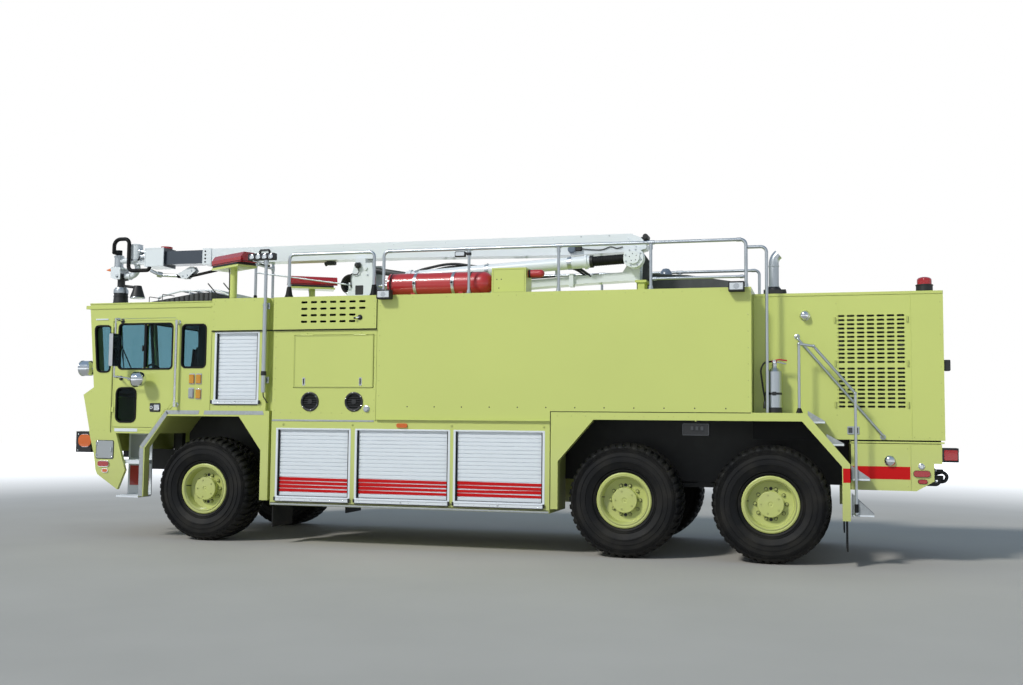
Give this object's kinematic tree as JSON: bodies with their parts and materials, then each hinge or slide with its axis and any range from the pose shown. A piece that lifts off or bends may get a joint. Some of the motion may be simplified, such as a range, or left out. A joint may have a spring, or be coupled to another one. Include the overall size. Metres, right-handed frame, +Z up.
{
  "type": "airport fire truck",
  "caption": "Airport crash tender with a forward cab, tank body, roller shutter lockers, rear engine housing and a folding roof boom with a nozzle.",
  "frame": {"origin": "on the ground, under the middle of the bounding box", "axes": "+X to the front of the truck, +Y to its left, +Z up"},
  "size_m": [12.511, 3.7, 4.5148],
  "materials": {
    "aluminium": "satin",
    "chassis_black": "satin",
    "interior_plastic": "matte",
    "lamp_clear": "gloss",
    "lamp_coloured": "gloss",
    "lime_paint": "gloss",
    "red_paint": "gloss",
    "rubber": "matte",
    "white_paint": "gloss",
    "window_glass": "gloss"
  },
  "bodies": {
    "truck": {"chassis_frame": "chassis_black", "front_bumper": "chassis_black", "front_skirt": "lime_paint", "cab_shell": "lime_paint", "cab_roof": "lime_paint", "cab_glass": "window_glass", "cab_interior": "interior_plastic", "steps": "aluminium", "front_fenders": "lime_paint", "front_block": "lime_paint", "vent_section": "lime_paint", "tank_body": "lime_paint", "lower_lockers": "lime_paint", "roller_shutters": "aluminium", "rear_fenders": "lime_paint", "engine_housing": "lime_paint", "engine_block": "chassis_black", "rear_skirt": "lime_paint", "body_mounts": "chassis_black", "axles": "chassis_black", "handrails": "aluminium", "light_bars": "lime_paint", "roof_units": "interior_plastic", "agent_cylinders": "red_paint", "exhaust_stack": "aluminium", "lamps": "lamp_clear", "marker_lamps": "lamp_coloured", "boom_pedestal": "white_paint", "pedestal_hoses": "rubber", "mud_flaps": "rubber"},
    "knuckle_left": {"knuckle_left": "chassis_black"},
    "knuckle_right": {"knuckle_right": "chassis_black"},
    "wheel_front_left": {"tyre_front_left": "rubber", "rim_front_left": "lime_paint"},
    "wheel_front_right": {"tyre_front_right": "rubber", "rim_front_right": "lime_paint"},
    "wheel_mid_left": {"tyre_mid_left": "rubber", "rim_mid_left": "lime_paint"},
    "wheel_mid_right": {"tyre_mid_right": "rubber", "rim_mid_right": "lime_paint"},
    "wheel_rear_left": {"tyre_rear_left": "rubber", "rim_rear_left": "lime_paint"},
    "wheel_rear_right": {"tyre_rear_right": "rubber", "rim_rear_right": "lime_paint"},
    "door_left": {"door_left": "lime_paint", "door_glass_left": "window_glass"},
    "door_right": {"door_right": "lime_paint", "door_glass_right": "window_glass"},
    "flap_left": {"flap_left": "lime_paint"},
    "flap_right": {"flap_right": "lime_paint"},
    "light_mast": {"light_mast": "chassis_black"},
    "lower_boom": {"lower_boom": "white_paint"},
    "lift_barrel": {"lift_barrel": "white_paint"},
    "lift_rod": {"lift_rod": "aluminium"},
    "boom_knuckle": {"boom_knuckle": "white_paint"},
    "upper_boom": {"upper_boom": "white_paint"},
    "boom_inner": {"boom_inner": "white_paint", "head_hoses": "rubber"},
    "nozzle": {"nozzle": "chassis_black"}
  },
  "joints": [
    {"name": "steer_left", "type": "hinge", "parent": "truck", "child": "knuckle_left", "pos_m": [3.535, 1.05, 0.712], "axis": [0, 0, 1], "range_deg": [-30, 30]},
    {"name": "steer_right", "type": "hinge", "parent": "truck", "child": "knuckle_right", "pos_m": [3.535, -1.05, 0.712], "axis": [0, 0, 1], "range_deg": [-30, 30]},
    {"name": "wheel_front_left_spin", "type": "hinge", "parent": "knuckle_left", "child": "wheel_front_left", "pos_m": [3.535, 1.2, 0.712], "axis": [0, 1, 0], "continuous": true},
    {"name": "wheel_front_right_spin", "type": "hinge", "parent": "knuckle_right", "child": "wheel_front_right", "pos_m": [3.535, -1.2, 0.712], "axis": [0, 1, 0], "continuous": true},
    {"name": "wheel_mid_left_spin", "type": "hinge", "parent": "truck", "child": "wheel_mid_left", "pos_m": [-2.34, 1.2, 0.712], "axis": [0, 1, 0], "continuous": true},
    {"name": "wheel_mid_right_spin", "type": "hinge", "parent": "truck", "child": "wheel_mid_right", "pos_m": [-2.34, -1.2, 0.712], "axis": [0, 1, 0], "continuous": true},
    {"name": "wheel_rear_left_spin", "type": "hinge", "parent": "truck", "child": "wheel_rear_left", "pos_m": [-4.118, 1.2, 0.712], "axis": [0, 1, 0], "continuous": true},
    {"name": "wheel_rear_right_spin", "type": "hinge", "parent": "truck", "child": "wheel_rear_right", "pos_m": [-4.118, -1.2, 0.712], "axis": [0, 1, 0], "continuous": true},
    {"name": "door_left_swing", "type": "hinge", "parent": "truck", "child": "door_left", "pos_m": [4.998, 1.536, 2.3], "axis": [0, 0, -1], "range_deg": [0, 75]},
    {"name": "door_right_swing", "type": "hinge", "parent": "truck", "child": "door_right", "pos_m": [4.998, -1.536, 2.3], "axis": [0, 0, 1], "range_deg": [0, 75]},
    {"name": "flap_left_lift", "type": "hinge", "parent": "truck", "child": "flap_left", "pos_m": [1.5835, 1.533, 2.815], "axis": [1, 0, 0], "range_deg": [0, 95]},
    {"name": "flap_right_lift", "type": "hinge", "parent": "truck", "child": "flap_right", "pos_m": [1.5835, -1.533, 2.815], "axis": [-1, 0, 0], "range_deg": [0, 95]},
    {"name": "light_mast_raise", "type": "slide", "parent": "truck", "child": "light_mast", "axis": [0, 0, 1], "range_m": [0, 1]},
    {"name": "lower_boom_lift", "type": "hinge", "parent": "truck", "child": "lower_boom", "pos_m": [1.7, 0, 3.49], "axis": [0, 1, 0], "range_deg": [0, 50]},
    {"name": "lift_barrel_swing", "type": "hinge", "parent": "truck", "child": "lift_barrel", "pos_m": [1.71, 0, 3.9], "axis": [0, 1, 0], "range_deg": [0, 56]},
    {"name": "lift_rod_stroke", "type": "slide", "parent": "lift_barrel", "child": "lift_rod", "axis": [0.9862, 0, 0.1657], "range_m": [0, 0.36]},
    {"name": "boom_level", "type": "hinge", "parent": "lower_boom", "child": "boom_knuckle", "pos_m": [-2.262, 0, 3.925], "axis": [0, 1, 0], "range_deg": [-50, 0]},
    {"name": "upper_boom_lift", "type": "hinge", "parent": "boom_knuckle", "child": "upper_boom", "pos_m": [-2.262, 0, 3.925], "axis": [0, -1, 0], "range_deg": [0, 45]},
    {"name": "boom_extend", "type": "slide", "parent": "upper_boom", "child": "boom_inner", "axis": [1, 0, 0], "range_m": [0, 3]},
    {"name": "nozzle_tilt", "type": "hinge", "parent": "boom_inner", "child": "nozzle", "pos_m": [5.965, 0, 3.905], "axis": [0, -1, 0], "range_deg": [0, 80]}
  ],
  "couplings": [
    {"joint": "steer_right", "follows": "steer_left", "ratio": 1},
    {"joint": "boom_level", "follows": "lower_boom_lift", "ratio": -1},
    {"joint": "lift_barrel_swing", "follows": "lower_boom_lift", "ratio": 1.08},
    {"joint": "lift_rod_stroke", "follows": "lower_boom_lift", "m_per_rad": 0.3839}
  ]
}
